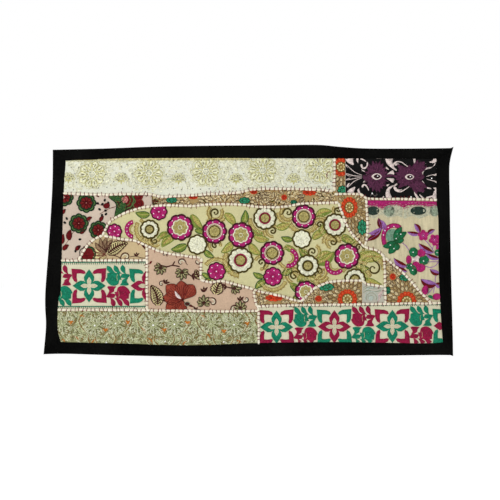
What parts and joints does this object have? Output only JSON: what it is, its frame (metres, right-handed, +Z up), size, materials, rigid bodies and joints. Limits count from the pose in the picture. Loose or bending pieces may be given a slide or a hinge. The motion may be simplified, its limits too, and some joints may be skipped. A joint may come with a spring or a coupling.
{
  "type": "embroidered patchwork tapestry",
  "caption": "Long wall hanging of old embroidered cloth patches around a curved flowered centre patch, seams couched with white braid, in a folded black border.",
  "frame": {"origin": "middle of the top edge, on the back of the cloth, where the wall is", "axes": "+X to the viewer's right, +Y into the wall, +Z up"},
  "size_m": [1.024, 0.0088, 0.5294],
  "materials": {
    "border_cotton": "matte black cotton, plain weave",
    "ivory_brocade": "ivory cotton with white self-coloured filigree",
    "vine_cloth": "beige cotton under dense olive and tan embroidery",
    "lime_cloth": "lime tan cotton",
    "blush_cloth": "pale blush cotton",
    "fawn_cloth": "fawn cotton",
    "rose_cloth": "washed rose cotton",
    "tile_cloth": "cream cotton",
    "sage_cloth": "sage cotton under chain stitch",
    "bluish_cloth": "grey blue cotton",
    "damask_cloth": "pale pink cotton under black and purple embroidery",
    "crinkle_cloth": "cream crinkled cotton",
    "backing_cloth": "unbleached cotton foundation",
    "braid": "soft white cotton braid",
    "couching_thread": "maroon sewing thread",
    "white_thread": "cotton floss",
    "cream_thread": "cotton floss",
    "gold_thread": "silk floss with a low sheen",
    "olive_thread": "cotton floss",
    "tan_thread": "cotton floss",
    "lime_thread": "cotton floss",
    "green_thread": "cotton floss",
    "deep_green_thread": "cotton floss",
    "teal_thread": "silk floss with a low sheen",
    "magenta_thread": "silk floss with a low sheen",
    "crimson_thread": "silk floss with a low sheen",
    "red_thread": "cotton floss",
    "brick_thread": "cotton floss",
    "orange_thread": "silk floss with a low sheen",
    "peach_thread": "cotton floss",
    "brown_thread": "cotton floss",
    "violet_thread": "silk floss with a low sheen",
    "purple_thread": "silk floss with a low sheen",
    "black_thread": "cotton floss",
    "grey_thread": "cotton floss",
    "sequins": "pearly",
    "dark_beads": "glossy"
  },
  "bodies": {
    "root": {"patch_centre": "lime_cloth", "patch_ivory": "ivory_brocade", "patch_vine_strip": "vine_cloth", "patch_vine_column": "vine_cloth", "patch_damask": "damask_cloth", "patch_vine_side": "vine_cloth", "patch_blush": "blush_cloth", "patch_fawn": "fawn_cloth", "patch_tile_left": "tile_cloth", "patch_brick": "rose_cloth", "patch_vine_foot": "vine_cloth", "patch_vine_arch": "vine_cloth", "patch_bluish": "bluish_cloth", "patch_gusset": "vine_cloth", "patch_crinkle": "crinkle_cloth", "patch_sage": "sage_cloth", "patch_tile_right": "tile_cloth", "border_top": "border_cotton", "border_bottom": "border_cotton", "border_left": "border_cotton", "border_right": "border_cotton", "braid_ivory_side": "braid", "braid_ivory_foot": "braid", "braid_damask_foot": "braid", "braid_centre_top": "braid", "braid_centre_side": "braid", "braid_centre_shoulder": "braid", "braid_centre_drop": "braid", "braid_centre_tail": "braid", "braid_arch": "braid", "braid_centre_foot": "braid", "braid_centre_notch": "braid", "braid_centre_under": "braid", "braid_blush_slant": "braid", "braid_vine_side": "braid", "braid_gusset_slant": "braid", "braid_gusset_drop": "braid", "braid_tile_top": "braid", "braid_tile_side": "braid", "braid_left_foot": "braid", "braid_brick_side": "braid", "braid_right_foot": "braid", "braid_middle_side": "braid"}
  },
  "joints": []
}
